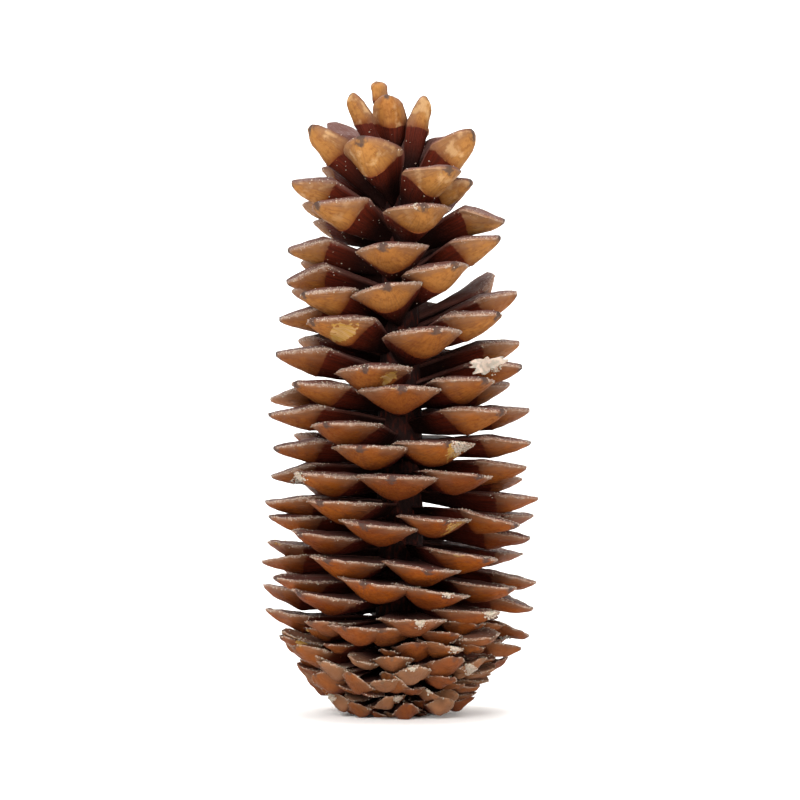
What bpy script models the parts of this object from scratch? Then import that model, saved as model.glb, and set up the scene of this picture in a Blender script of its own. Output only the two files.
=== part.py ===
"""An open sugar pine cone, standing on its base.

Metres, +Z up, the seen side towards -Y. The cone is one body: a slim axis with a
stem stub below, and woody scales set round it on a golden-angle spiral. A scale
has a keeled shaft that widens outwards to a break line, and beyond that a blunt
four-sided end, the apophysis, which closes on a small tip, the umbo.
"""

import math
import random

import bmesh
import bpy
from mathutils import Vector

MM = 0.001
NODE = "pine_cone"

# Picture measures: the cone is 633 px tall in the picture and 300 mm in real size.
MM_PER_PX = 0.474
PICTURE_PX = 800
AXIS_PX = 400.0
FLOOR_PX = 713.0
CAMERA_AWAY_MM = 1150.0
CAMERA_HIGH_MM = 108.0
MIDDLE_HIGH_MM = (FLOOR_PX - PICTURE_PX / 2) * MM_PER_PX

# The spiral, counted from the top. An angle of 0 faces the viewer and grows towards +X.
FIRST_ANGLE = 318.1
TURN = 137.033
TOP_MM = 300.0
LAST_MM = 1.0

# Tables by tip height, mm. Rise from one scale's tip to the next one's.
SPACING = ((10, 0.38), (22, 0.44), (30, 0.75), (36, 1.1), (82, 1.26), (139, 2.13), (196, 1.79),
           (253, 2.60), (298, 3.46))
# Reach of the tips from the axis.
REACH = ((0, 15), (3, 24), (8, 35), (12, 41), (22, 50), (30, 55), (37, 60), (49, 63), (72, 63.5),
         (101, 62), (125, 60), (148, 58.5), (175, 56), (200, 53.5), (220, 52), (250, 48),
         (276, 38), (293, 19), (300, 3))
# Width across the break line, keel depth and arch height there, and length to the tip.
WIDTH = ((0, 9), (4, 11), (12, 12.5), (23, 16), (36, 23), (48, 33), (54, 37), (100, 37), (125, 39),
         (148, 38), (175, 37), (200, 35), (232, 33), (251, 30), (276, 27), (293, 16), (300, 8))
KEEL = ((0, 2.6), (12, 3.3), (23, 4.3), (36, 6.8), (60, 9), (100, 9.5), (150, 10), (220, 11),
        (258, 11.5), (272, 13.5), (280, 11), (293, 7.5), (300, 7.5))
ARCH = ((0, 0.3), (30, -0.6), (60, -1.2), (90, -0.2), (115, 1.0), (150, 2.4), (190, 3.2),
        (260, 2.6), (300, 1))
END = ((0, 8), (12, 10), (23, 12), (36, 16), (50, 19), (100, 20), (180, 19.5), (215, 17.5),
       (251, 16.5), (272, 18), (285, 16), (293, 15), (300, 11))
# How blunt the end is: 0 tapers to a point and 2 stays broad up to the tip.
BLUNT = ((0, 0.45), (30, 0.3), (60, 0.15), (110, 0), (240, 0), (262, 0.3), (275, 0.7), (293, 0.9),
         (300, 1.7))
# Slope of the shaft and of the end, degrees above level.
SHAFT_SLOPE = ((0, -28), (12, -14), (23, -8), (36, -5), (48, -3), (72, -2), (100, 0),
                (125, 4), (148, 10), (170, 17), (190, 20), (219, 22), (232, 24),
               (251, 30), (276, 50), (293, 74), (300, 85))
END_SLOPE = ((0, 15), (12, 14), (23, 12), (36, 7), (54, 1), (70, -2), (100, -2), (140, 1),
             (200, 2.5), (232, -1), (240, -2), (251, 1.5), (258, 1), (272, 7), (276, 11),
             (284, 32), (293, 62), (300, 80))
# Tilt of the rows, degrees: the right side hangs low on the lower rows, the left higher up.
TILT = ((0, 3), (25, 6), (60, 9), (95, 6), (134, 1), (160, 0), (200, -7), (228, -6), (250, -2),
        (270, 0))
# Slope of the end, degrees, of scales at the side, read off the picture.
RISE = {5: 26, 6: 26, 8: 16, 13: 0, 22: -16, 26: -14, 34: -20, 38: 38, 43: 12, 47: -15, 48: 4,
        51: 6, 55: -3, 56: -2, 60: -18, 68: -9, 72: -2, 76: -8, 77: -8, 81: -18, 85: -6, 89: -6,
        93: -5, 97: -2, 98: -16, 101: -4, 106: -13, 110: -9, 118: 0, 122: -14, 123: 7, 127: -22,
        131: 9, 135: -18}
# Sideways lean of the axis towards the top.
LEAN = ((0, 0), (215, 0), (229, -0.5), (251, -1.9), (276, -4.7), (300, -9.5))
AXIS_RADIUS = ((4, 9), (30, 11.5), (80, 11), (150, 10), (220, 8), (262, 5.5), (282, 2.5))

# Scales read off the picture: number on the spiral, then the tip's x and y in the
# picture, px, and for a scale at the side or the back its angle, degrees.
SEEN = (
    (0, 381, 81, -25), (1, 425, 97, 66), (2, 351, 93, -66), (3, 387, 94, 5),
    (4, 415, 127, 152), (5, 311, 127, -66), (6, 473, 132, 68), (7, 335, 121, -142),
    (8, 361, 138, None), (9, 464, 138, 112), (10, 331, 171, -138), (11, 450, 168, None),
    (13, 292, 184, -74), (14, 472, 181, 70), (17, 458, 190, 146), (18, 305, 206, -118),
    (21, 316, 206, None), (22, 504, 222, 80), (24, 424, 206, None), (26, 289, 251, -78),
    (27, 499, 238, 64), (29, 383, 246, None), (30, 489, 247, 110), (32, 455, 265, None),
    (34, 287, 283, -80), (37, 387, 286, None), (38, 489, 274, 124), (39, 294, 292, -114),
    (42, 303, 295, None), (43, 517, 293, 84), (47, 280, 320, -80), (48, 499, 315, 60),
    (50, 313, 321, None), (51, 519, 343, 98), (52, 302, 342, -120), (53, 436, 330, None),
    (55, 277, 355, -78), (56, 521, 367, 76), (58, 366, 368, None), (60, 271, 400, -97),
    (61, 485, 380, None), (63, 295, 384, None), (64, 508, 385, 108), (66, 401, 388, None),
    (68, 270, 415, -72), (69, 502, 411, None), (71, 326, 424, None), (72, 529, 411, 92),
    (74, 448, 444, None), (76, 275, 448, -72), (77, 530, 443, 78), (79, 361, 447, None),
    (80, 519, 479, 114), (81, 272, 477, -86), (82, 480, 476, None), (84, 300, 474, None),
    (85, 526, 468, 84), (87, 392, 478, None), (89, 266, 502, -80), (92, 320, 502, None),
    (93, 538, 498, 90), (95, 447, 521, None), (97, 270, 517, -76), (98, 516, 525, None),
    (100, 363, 525, None), (101, 532, 515, 106), (102, 269, 541, -100), (105, 299, 533, None),
    (106, 530, 538, 82), (110, 262, 561, -84), (111, 487, 559, None), (113, 328, 560, None),
    (114, 520, 553, 116), (116, 428, 570, None), (118, 275, 578, None), (119, 512, 589, None),
    (121, 365, 583, None), (122, 536, 582, 88), (123, 264, 585, -98), (124, 447, 594, None),
    (126, 299, 592, None), (127, 534, 609, 80), (131, 265, 609, -88), (132, 491, 613, None),
    (135, 533, 635, 88), (137, 419, 621, None), (139, 281, 631, -76), (140, 495, 637, None),
    (142, 345, 627, None), (144, 286, 646, -98), (145, 456, 648, None), (152, 295, 663, -90),
)
# Scales of the spiral that are missing on the seen side.
MISSING = (16, 19, 35, 40, 45, 90, 103, 108, 129, 134)
MISSING_CHANCE = 0.02
FIRST_FALLEN = 20
LAST_FALLEN = 150

SEED = 31
SEED_STEP = 7
DRAWS = 4
# Most that a scale's angle and twist, degrees, its tip's height, mm, and its size and reach,
# as shares, differ from the tables. Below LOOSE_ABOVE the height differs less.
ANGLE_SPREAD = 4.0
TWIST_SPREAD = 3.0
HEIGHT_SPREAD = 2.2
LOOSE_ABOVE = 40.0
SIZE_SPREAD = 0.05
REACH_SPREAD = 0.035
# Most that the end is skewed to a side, for a scale of this width, and that its arch
# differs, all mm.
SKEW_SPREAD = 2.2
SKEWED_WIDTH = 38.0
ARCH_SPREAD = 0.5
# Scales below this height lie unevenly: most twist and slope added, degrees, and most reach
# lost, a share.
UNEVEN_TOP = 52.0
UNEVEN_TWIST = 42.0
UNEVEN_SLOPE = 30.0
UNEVEN_REACH = 0.15
# Where roots lie, mm: distance from the axis, most below the break line, and lowest.
ROOT_RADIUS = 2.5
DEEPEST_ROOT = 45.0
LOWEST_ROOT = 7.0
SHORTEST_SHAFT = 1.0
NEAREST_TIP = 2.5
# An end is at most this share of its scale's level reach, and a steep end counts as if this
# share of it was level.
LONGEST_END = 0.8
LEVEL_SHARE = 0.2
# Most of the reach that a seen tip lies aside, and rounds to settle how near it is.
MOST_ASIDE = 0.98
SETTLING_ROUNDS = 4
STUB_RADIUS = 7.5
STUB_TOP = 14.0

# Rings of a scale from root to tip: place along it, where 0.5 is the break line, then the
# half width and keel depth there, as shares of those at the break line.
RINGS = ((0.0, 0.17, 0.40), (0.25, 0.54, 0.72), (0.5, 1.0, 1.0), (0.76, 0.80, 0.64),
         (1.0, 0.14, 0.20))
FEW_RINGS = (RINGS[0], RINGS[2], RINGS[4])
# Scales with tips below this height are packed, so they have fewer rings and flat tops.
FEW_BELOW = 62.0
BREAK = 0.5
# The corners of the break line are set back along the scale and its keel is set out.
SET_BACK = 0.02
SET_OUT = 0.03
# Height of the upper face over the corners, as a share of the keel.
RIM_SHARE = 0.045
# Share of the arch where the keel has gone.
LEAST_ARCH = 0.3
# Between these places along it, a scale turns from the shaft's slope to the end's.
TURN_FROM = 0.4
TURN_TO = 0.6
# How late along the end its bluntness begins, and how late its tip then rounds off.
BLUNT_POWER = 3
ROUND_POWER = 8
ROUND_FROM = 1.25
AXIS_SIDES = 8

TRIM_SIDE_MM = 100.0
TRIM_DEPTH_MM = 60.0

WOOD_SRGB = (0.55, 0.35, 0.19)
WOOD_ROUGHNESS = 0.62


def at(table, height):
    """Value of a table at this height, on straight lines between its entries."""
    if height <= table[0][0]:
        return table[0][1]
    for (low, first), (high, second) in zip(table, table[1:]):
        if height <= high:
            return first + (second - first) * (height - low) / (high - low)
    return table[-1][1]


def spiral_heights():
    """Tip heights of all scales, from the top down."""
    heights = []
    height = TOP_MM
    while height > LAST_MM:
        heights.append(height)
        height -= at(SPACING, height)
    return heights


def seen_from_camera(x_px, y_px, nearer):
    """x and z in mm of a place in the picture, if it is this much nearer than the axis."""
    rise = MIDDLE_HIGH_MM - CAMERA_HIGH_MM
    away = math.hypot(CAMERA_AWAY_MM, rise)
    up = (PICTURE_PX / 2 - y_px) * MM_PER_PX
    reach = (CAMERA_AWAY_MM - nearer) / (CAMERA_AWAY_MM - up * rise / away)
    aside = (x_px - AXIS_PX) * MM_PER_PX * reach
    return aside, CAMERA_HIGH_MM + reach * (rise + up * CAMERA_AWAY_MM / away)


def seen_place(x_px, y_px, angle):
    """Angle, tip height and reach of a scale from where its tip is in the picture."""
    height, turn = (FLOOR_PX - y_px) * MM_PER_PX, math.radians(angle or 0)
    for _ in range(SETTLING_ROUNDS):
        nearer = at(REACH, height) * math.cos(turn)
        aside, height = seen_from_camera(x_px, y_px, nearer)
        aside -= at(LEAN, height)
        if angle is None:
            turn = math.asin(max(-MOST_ASIDE, min(MOST_ASIDE, aside / at(REACH, height))))
    if angle is None:
        return math.degrees(turn), height, at(REACH, height)
    return angle, height, max(NEAREST_TIP, aside / math.sin(turn))


def place_scales():
    """One (number, angle, height, reach, size, twist) for each scale of the cone."""
    draw = random.Random(SEED)
    seen = {number: seen_place(*place) for number, *place in SEEN}
    placed = []
    for number, height in enumerate(spiral_heights()):
        spread = [draw.uniform(-1, 1) for _ in range(DRAWS)]
        drop = draw.random() < MISSING_CHANCE and FIRST_FALLEN < number < LAST_FALLEN
        size = 1 + SIZE_SPREAD * spread[2]
        if number in seen:
            angle, height, reach = seen[number]
        elif drop or number in MISSING:
            continue
        else:
            angle = FIRST_ANGLE + TURN * number + ANGLE_SPREAD * spread[0]
            height += HEIGHT_SPREAD * spread[1] * min(1, height / LOOSE_ABOVE)
            reach = at(REACH, height) * (1 + REACH_SPREAD * spread[2])
        placed.append((number, angle, height, reach, size, TWIST_SPREAD * spread[3]))
    return placed


def turned(number, height, turn, twist, own):
    """Twist of a scale and slopes of its shaft and end, radians."""
    tilt, uneven = at(TILT, height), max(0.0, 1 - height / UNEVEN_TOP)
    twist += tilt * math.cos(turn) + own.uniform(-UNEVEN_TWIST, UNEVEN_TWIST) * uneven
    shaft = at(SHAFT_SLOPE, height) - tilt / 2 * math.sin(turn)
    end = RISE.get(number, at(END_SLOPE, height) - tilt * math.sin(turn))
    end += own.uniform(-UNEVEN_SLOPE, UNEVEN_SLOPE) * uneven
    return math.radians(twist), math.radians(shaft), math.radians(end)


def break_and_root(height, reach, length, shaft, end):
    """How far out and up the break line is, and how far up the root is, mm."""
    length = min(length, LONGEST_END * reach / max(LEVEL_SHARE, math.cos(end)))
    out = max(reach - length * math.cos(end), ROOT_RADIUS + SHORTEST_SHAFT)
    up = height - length * math.sin(end)
    root_up = up - (out - ROOT_RADIUS) * math.tan(shaft)
    return out, up, max(root_up, up - DEEPEST_ROOT, LOWEST_ROOT)


def spot(away, out, up):
    """A place in metres, this far out and up."""
    return (away * out + Vector((at(LEAN, up), 0, up))) * MM


def above(away, slope):
    """The direction square to a slope that rises outwards."""
    return Vector((0, 0, math.cos(slope))) - away * math.sin(slope)


def lay_out(place):
    """Where one scale runs and how big it is, in metres: the values that it is bent by."""
    number, angle, height, reach, size, twist = place
    own = random.Random(number * SEED_STEP + SEED)
    reach *= 1 - UNEVEN_REACH * own.random() * max(0.0, 1 - height / UNEVEN_TOP)
    turn = math.radians(angle)
    away = Vector((math.sin(turn), -math.cos(turn), 0))
    aside = Vector((math.cos(turn), math.sin(turn), 0))
    twist, shaft, end = turned(number, height, turn, twist, own)
    width, keel, arch, length = (at(table, height) * size for table in (WIDTH, KEEL, ARCH, END))
    skew = own.uniform(-SKEW_SPREAD, SKEW_SPREAD) * width / SKEWED_WIDTH
    break_out, break_up, root_up = break_and_root(height, reach, length, shaft, end)
    return {
        "root": spot(away, ROOT_RADIUS, root_up),
        "brk": spot(away, break_out, break_up) + aside * skew * MM,
        "tip": spot(away, reach, height),
        "aside": aside * math.cos(twist) - above(away, end) * math.sin(twist),
        "above_shaft": above(away, shaft) * math.cos(twist / 2) + aside * math.sin(twist / 2),
        "above_end": above(away, end) * math.cos(twist) + aside * math.sin(twist),
        "half": width / 2 * MM,
        "keel": keel * MM,
        "arch": (arch + own.uniform(-ARCH_SPREAD, ARCH_SPREAD)) * MM,
        "blunt": at(BLUNT, height),
        "level": height / TOP_MM,
    }


def bent(place, across, along, high, arched):
    """Where a point goes that is this far across, along and above the straight scale."""
    on_shaft, on_end = min(1.0, 2 * along), max(0.0, 2 * along - 1)
    share = max(0.0, min(1.0, (along - TURN_FROM) / (TURN_TO - TURN_FROM)))
    up = (place["above_shaft"] * (1 - share) + place["above_end"] * share).normalized()
    swell = on_end ** BLUNT_POWER * (ROUND_FROM - on_end ** ROUND_POWER)
    broader = 1 + place["blunt"] * swell
    middle = place["root"] + (place["brk"] - place["root"]) * on_shaft
    middle += (place["tip"] - place["brk"]) * on_end
    aside = place["aside"] * (across * place["half"] * broader)
    return middle + aside + up * (high * place["keel"] * broader + arched * place["arch"])


def scale_points(place):
    """All points of a scale, ring by ring, and how many a ring has: a corner, its keel, the
    other corner and, unless the scale is packed, its top."""
    packed = place["level"] * TOP_MM < FEW_BELOW
    points = []
    for along, half, keel in FEW_RINGS if packed else RINGS:
        back, out = (SET_BACK, SET_OUT) if along == BREAK else (0, 0)
        arched = LEAST_ARCH + (1 - LEAST_ARCH) * keel
        points += [
            bent(place, half, along - back, 0, 0),
            bent(place, 0, along + out, -keel - RIM_SHARE, 0),
            bent(place, -half, along - back, 0, 0),
        ]
        if not packed:
            points.append(bent(place, 0, along, RIM_SHARE, arched))
    return points, 3 if packed else 4


def tube_faces(rings, sides):
    """Faces of a closed tube of rings, facing out."""
    faces = [tuple(range(sides - 1, -1, -1)), tuple(range((rings - 1) * sides, rings * sides))]
    for ring in range(rings - 1):
        for side in range(sides):
            a, b = ring * sides + side, ring * sides + (side + 1) % sides
            faces.append((a, b, b + sides, a + sides))
    return faces


def solid(name, points, faces, collection):
    """A closed mesh object, its points in metres."""
    mesh = bpy.data.meshes.new(name)
    mesh.from_pydata([tuple(point) for point in points], [], faces)
    shape = bmesh.new()
    shape.from_mesh(mesh)
    bmesh.ops.triangulate(shape, faces=shape.faces)
    bmesh.ops.recalc_face_normals(shape, faces=shape.faces)
    shape.to_mesh(mesh)
    shape.free()
    made = bpy.data.objects.new(name, mesh)
    collection.objects.link(made)
    return made


def axis_points():
    """Rings of the cone's axis, with the stem stub below it ending flat on the floor."""
    rings = [(0, STUB_RADIUS), (STUB_TOP, STUB_RADIUS)]
    rings += [(height, radius) for height, radius in AXIS_RADIUS if height > STUB_TOP]
    points = []
    for height, radius in rings:
        for side in range(AXIS_SIDES):
            turn = 2 * math.pi * side / AXIS_SIDES
            around = Vector((radius * math.cos(turn), radius * math.sin(turn), height))
            points.append((around + Vector((at(LEAN, height), 0, 0))) * MM)
    return points, len(rings)


def shells(shape):
    """The separate closed surfaces of a mesh, as lists of faces."""
    left, found = set(shape.faces), []
    while left:
        todo, group = [left.pop()], []
        while todo:
            face = todo.pop()
            group.append(face)
            for edge in face.edges:
                for other in edge.link_faces:
                    if other in left:
                        left.remove(other)
                        todo.append(other)
        found.append(group)
    return found


def keep_outer_shell(mesh):
    """Fills hollows that fusing sealed and drops loose scraps: only the largest surface stays."""
    shape = bmesh.new()
    shape.from_mesh(mesh)
    groups = sorted(shells(shape), key=len)
    spare = [face for group in groups[:-1] for face in group]
    bmesh.ops.delete(shape, geom=spare, context="FACES")
    bmesh.ops.triangulate(shape, faces=shape.faces)
    shape.to_mesh(mesh)
    shape.free()
    return len(groups) - 1


def apply_boolean(target, operation, **settings):
    """Applies one Boolean to the object."""
    boolean = target.modifiers.new(operation.lower(), "BOOLEAN")
    boolean.operation = operation
    for name, value in settings.items():
        setattr(boolean, name, value)
    graph = bpy.context.evaluated_depsgraph_get()
    joined = bpy.data.meshes.new_from_object(target.evaluated_get(graph))
    target.modifiers.clear()
    old, target.data = target.data, joined
    bpy.data.meshes.remove(old)


def remove_all(objects):
    """Removes these mesh objects and their meshes."""
    for one in list(objects):
        mesh = one.data
        bpy.data.objects.remove(one)
        bpy.data.meshes.remove(mesh)


def box_below(size, depth, collection):
    """A block whose top is the floor, its sizes in mm."""
    corners = ((-size, -size), (size, -size), (size, size), (-size, size))
    points = [Vector((x, y, z)) * MM for z in (-depth, 0) for x, y in corners]
    return solid("floor_trim", points, tube_faces(2, len(corners)), collection)


def wood():
    """Dry orange-brown cone wood, dull."""
    made = bpy.data.materials.new("cone_wood")
    made.use_nodes = True
    shader = made.node_tree.nodes["Principled BSDF"]
    linear = [((c + 0.055) / 1.055) ** 2.4 for c in WOOD_SRGB]
    shader.inputs["Base Color"].default_value = (*linear, 1)
    shader.inputs["Roughness"].default_value = WOOD_ROUGHNESS
    shader.inputs["Metallic"].default_value = 0
    return made


def fuse_scales(cone, scene):
    """Fuses all scales onto the axis, and returns how many there are."""
    scales = bpy.data.collections.new("scales")
    scene.children.link(scales)
    for number, place in enumerate(place_scales()):
        points, sides = scale_points(lay_out(place))
        solid(f"scale_{number}", points, tube_faces(len(points) // sides, sides), scales)
    apply_boolean(cone, "UNION", solver="MANIFOLD", operand_type="COLLECTION", collection=scales)
    count = len(scales.objects)
    remove_all(scales.objects)
    bpy.data.collections.remove(scales)
    return count


def trim_floor(cone, scene):
    """Cuts off what lies below the floor."""
    floor = box_below(TRIM_SIDE_MM, TRIM_DEPTH_MM, scene)
    apply_boolean(cone, "DIFFERENCE", solver="MANIFOLD", operand_type="OBJECT", object=floor)
    remove_all([floor])


def main():
    remove_all([o for o in bpy.context.scene.objects if o.type == "MESH"])
    for other in list(bpy.context.scene.objects):
        bpy.data.objects.remove(other)
    scene = bpy.context.scene.collection
    points, rings = axis_points()
    cone = solid(NODE, points, tube_faces(rings, AXIS_SIDES), scene)
    count = fuse_scales(cone, scene)
    trim_floor(cone, scene)
    dropped = keep_outer_shell(cone.data)
    cone.data.materials.clear()
    cone.data.materials.append(wood())
    print(count, "scales,", len(cone.data.polygons), "triangles,", dropped, "inner shells filled")


main()
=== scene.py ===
"""Looks of an open sugar pine cone that stands on its base.

The scales follow the same rule as the solid: a spiral with one turn from each
scale to the next, and sizes and slopes read from tables by height.
"""

import math
import random

import bmesh
import bpy
from mathutils import Matrix, Vector


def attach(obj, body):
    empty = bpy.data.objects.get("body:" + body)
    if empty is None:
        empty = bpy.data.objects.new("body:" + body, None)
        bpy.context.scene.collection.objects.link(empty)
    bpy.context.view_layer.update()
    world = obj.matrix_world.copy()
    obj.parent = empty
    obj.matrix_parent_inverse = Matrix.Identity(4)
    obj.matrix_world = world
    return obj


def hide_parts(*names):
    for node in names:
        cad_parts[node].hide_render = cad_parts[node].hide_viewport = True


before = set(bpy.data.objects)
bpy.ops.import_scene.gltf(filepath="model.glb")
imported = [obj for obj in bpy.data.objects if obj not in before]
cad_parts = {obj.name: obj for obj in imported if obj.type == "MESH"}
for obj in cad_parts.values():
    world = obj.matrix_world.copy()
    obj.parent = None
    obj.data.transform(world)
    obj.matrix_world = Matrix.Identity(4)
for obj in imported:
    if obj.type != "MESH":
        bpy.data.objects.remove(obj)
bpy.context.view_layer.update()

bl_info = {
    "name": "Pine cone looks",
    "version": (1, 0, 0),
    "blender": (4, 5, 0),
    "location": "3D View > Sidebar > Pine cone",
    "description": "Fine scales, axis and resin of a sugar pine cone, with a studio stage",
    "category": "Add Mesh",
}

MM = 0.001
NODE = "pine_cone"
BODY = "root"

# Picture measures: the cone is 633 px tall in the picture and 300 mm in real size.
MM_PER_PX = 0.474
PICTURE_PX = 800
AXIS_PX = 400.0
FLOOR_PX = 713.0
CAMERA_AWAY_MM = 1150.0
CAMERA_HIGH_MM = 108.0
MIDDLE_HIGH_MM = (FLOOR_PX - PICTURE_PX / 2) * MM_PER_PX
# From the camera to the middle of the picture: how far up, and how far in all.
CAMERA_RISE_MM = MIDDLE_HIGH_MM - CAMERA_HIGH_MM
CAMERA_LENGTH_MM = math.hypot(CAMERA_AWAY_MM, CAMERA_RISE_MM)

# The spiral, counted from the top. An angle of 0 faces the viewer and grows towards +X.
FIRST_ANGLE = 318.1
TURN = 137.033
TOP_MM = 300.0
LAST_MM = 1.0

# Tables by tip height, mm. Rise from one scale's tip to the next one's.
SPACING = ((10, 0.38), (22, 0.44), (30, 0.75), (36, 1.1), (82, 1.26), (139, 2.13), (196, 1.79),
           (253, 2.60), (298, 3.46))
# Reach of the tips from the axis.
REACH = ((0, 15), (3, 24), (8, 35), (12, 41), (22, 50), (30, 55), (37, 60), (49, 63), (72, 63.5),
         (101, 62), (125, 60), (148, 58.5), (175, 56), (200, 53.5), (220, 52), (250, 48),
         (276, 38), (293, 19), (300, 3))
# Width across the break line, keel depth and arch height there, and length to the tip.
WIDTH = ((0, 9), (4, 11), (12, 12.5), (23, 16), (36, 23), (48, 33), (54, 37), (100, 37), (125, 39),
         (148, 38), (175, 37), (200, 35), (232, 33), (251, 30), (276, 27), (293, 16), (300, 8))
KEEL = ((0, 2.6), (12, 3.3), (23, 4.3), (36, 6.8), (60, 9), (100, 9.5), (150, 10), (220, 11),
        (258, 11.5), (272, 13.5), (280, 11), (293, 7.5), (300, 7.5))
ARCH = ((0, 0.3), (30, -0.6), (60, -1.2), (90, -0.2), (115, 1.0), (150, 2.4), (190, 3.2),
        (260, 2.6), (300, 1))
END = ((0, 8), (12, 10), (23, 12), (36, 16), (50, 19), (100, 20), (180, 19.5), (215, 17.5),
       (251, 16.5), (272, 18), (285, 16), (293, 15), (300, 11))
# How blunt the end is: 0 tapers to a point and 2 stays broad up to the tip.
BLUNT = ((0, 0.45), (30, 0.3), (60, 0.15), (110, 0), (240, 0), (262, 0.3), (275, 0.7), (293, 0.9),
         (300, 1.7))
# Slope of the shaft and of the end, degrees above level.
SHAFT_SLOPE = ((0, -28), (12, -14), (23, -8), (36, -5), (48, -3), (72, -2), (100, 0), (125, 4),
               (148, 10), (170, 17), (190, 20), (219, 22), (232, 24), (251, 30), (276, 50),
               (293, 74), (300, 85))
END_SLOPE = ((0, 15), (12, 14), (23, 12), (36, 7), (54, 1), (70, -2), (100, -2), (140, 1),
             (200, 2.5), (232, -1), (240, -2), (251, 1.5), (258, 1), (272, 7), (276, 11),
             (284, 32), (293, 62), (300, 80))
# Tilt of the rows, degrees: the right side hangs low on the lower rows, the left higher up.
TILT = ((0, 3), (25, 6), (60, 9), (95, 6), (134, 1), (160, 0), (200, -7), (228, -6), (250, -2),
        (270, 0))
# Slope of the end, degrees, of scales at the side, read off the picture.
RISE = {5: 26, 6: 26, 8: 16, 13: 0, 22: -16, 26: -14, 34: -20, 38: 38, 43: 12, 47: -15, 48: 4,
        51: 6, 55: -3, 56: -2, 60: -18, 68: -9, 72: -2, 76: -8, 77: -8, 81: -18, 85: -6, 89: -6,
        93: -5, 97: -2, 98: -16, 101: -4, 106: -13, 110: -9, 118: 0, 122: -14, 123: 7, 127: -22,
        131: 9, 135: -18}
# Sideways lean of the axis towards the top.
LEAN = ((0, 0), (215, 0), (229, -0.5), (251, -1.9), (276, -4.7), (300, -9.5))
AXIS_RADIUS = ((4, 9), (30, 11.5), (80, 11), (150, 10), (220, 8), (262, 5.5), (282, 2.5))

# Scales read off the picture: number on the spiral, then the tip's x and y in the
# picture, px, and for a scale at the side or the back its angle, degrees.
SEEN = (
    (0, 381, 81, -25), (1, 425, 97, 66), (2, 351, 93, -66), (3, 387, 94, 5), (4, 415, 127, 152),
    (5, 311, 127, -66), (6, 473, 132, 68), (7, 335, 121, -142), (8, 361, 138),
    (9, 464, 138, 112), (10, 331, 171, -138), (11, 450, 168), (13, 292, 184, -74),
    (14, 472, 181, 70), (17, 458, 190, 146), (18, 305, 206, -118), (21, 316, 206),
    (22, 504, 222, 80), (24, 424, 206), (26, 289, 251, -78), (27, 499, 238, 64), (29, 383, 246),
    (30, 489, 247, 110), (32, 455, 265), (34, 287, 283, -80), (37, 387, 286),
    (38, 489, 274, 124), (39, 294, 292, -114), (42, 303, 295), (43, 517, 293, 84),
    (47, 280, 320, -80), (48, 499, 315, 60), (50, 313, 321), (51, 519, 343, 98),
    (52, 302, 342, -120), (53, 436, 330), (55, 277, 355, -78), (56, 521, 367, 76),
    (58, 366, 368), (60, 271, 400, -97), (61, 485, 380), (63, 295, 384), (64, 508, 385, 108),
    (66, 401, 388), (68, 270, 415, -72), (69, 502, 411), (71, 326, 424), (72, 529, 411, 92),
    (74, 448, 444), (76, 275, 448, -72), (77, 530, 443, 78), (79, 361, 447), (80, 519, 479, 114),
    (81, 272, 477, -86), (82, 480, 476), (84, 300, 474), (85, 526, 468, 84), (87, 392, 478),
    (89, 266, 502, -80), (92, 320, 502), (93, 538, 498, 90), (95, 447, 521), (97, 270, 517, -76),
    (98, 516, 525), (100, 363, 525), (101, 532, 515, 106), (102, 269, 541, -100),
    (105, 299, 533), (106, 530, 538, 82), (110, 262, 561, -84), (111, 487, 559), (113, 328, 560),
    (114, 520, 553, 116), (116, 428, 570), (118, 275, 578), (119, 512, 589), (121, 365, 583),
    (122, 536, 582, 88), (123, 264, 585, -98), (124, 447, 594), (126, 299, 592),
    (127, 534, 609, 80), (131, 265, 609, -88), (132, 491, 613), (135, 533, 635, 88),
    (137, 419, 621), (139, 281, 631, -76), (140, 495, 637), (142, 345, 627),
    (144, 286, 646, -98), (145, 456, 648), (152, 295, 663, -90),
)
# Scales of the spiral that are missing on the seen side.
MISSING = (16, 19, 35, 40, 45, 90, 103, 108, 129, 134)
MISSING_CHANCE = 0.02
FIRST_FALLEN = 20
LAST_FALLEN = 150

SEED = 31
SEED_STEP = 7
DRAWS = 4
# Most that a scale's angle and twist, degrees, its tip's height, mm, and its size and reach,
# as shares, differ from the tables. Below LOOSE_ABOVE the height differs less.
ANGLE_SPREAD = 4.0
TWIST_SPREAD = 3.0
HEIGHT_SPREAD = 2.2
LOOSE_ABOVE = 40.0
SIZE_SPREAD = 0.05
REACH_SPREAD = 0.035
# Most that the end is skewed to a side, for a scale of this width, and that its arch
# differs, all mm.
SKEW_SPREAD = 2.2
SKEWED_WIDTH = 38.0
ARCH_SPREAD = 0.5
# Scales below this height lie unevenly: most twist and slope added, degrees, and most reach
# lost, a share.
UNEVEN_TOP = 52.0
UNEVEN_TWIST = 42.0
UNEVEN_SLOPE = 30.0
UNEVEN_REACH = 0.15
# Where roots lie, mm: distance from the axis, most below the break line, and lowest.
ROOT_RADIUS = 2.5
DEEPEST_ROOT = 45.0
LOWEST_ROOT = 7.0
SHORTEST_SHAFT = 1.0
NEAREST_TIP = 2.5
# An end is at most this share of its scale's level reach, and a steep end counts as if this
# share of it was level.
LONGEST_END = 0.8
LEVEL_SHARE = 0.2
# Most of the reach that a seen tip lies aside, and rounds to settle how near it is.
MOST_ASIDE = 0.98
SETTLING_ROUNDS = 4
STUB_RADIUS = 7.5
STUB_TOP = 14.0

# The scales are made in bands, each a piece of its own: name, lowest tip, mm, and how
# many times as ragged as the least ragged its edges are.
BANDS = (("scales_crown", 236, 1.0), ("scales_upper", 165, 1.0), ("scales_middle", 100, 1.1),
         ("scales_lower", 50, 1.4), ("scales_foot", 21, 2.4), ("scales_base", -10, 2.8))
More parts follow.
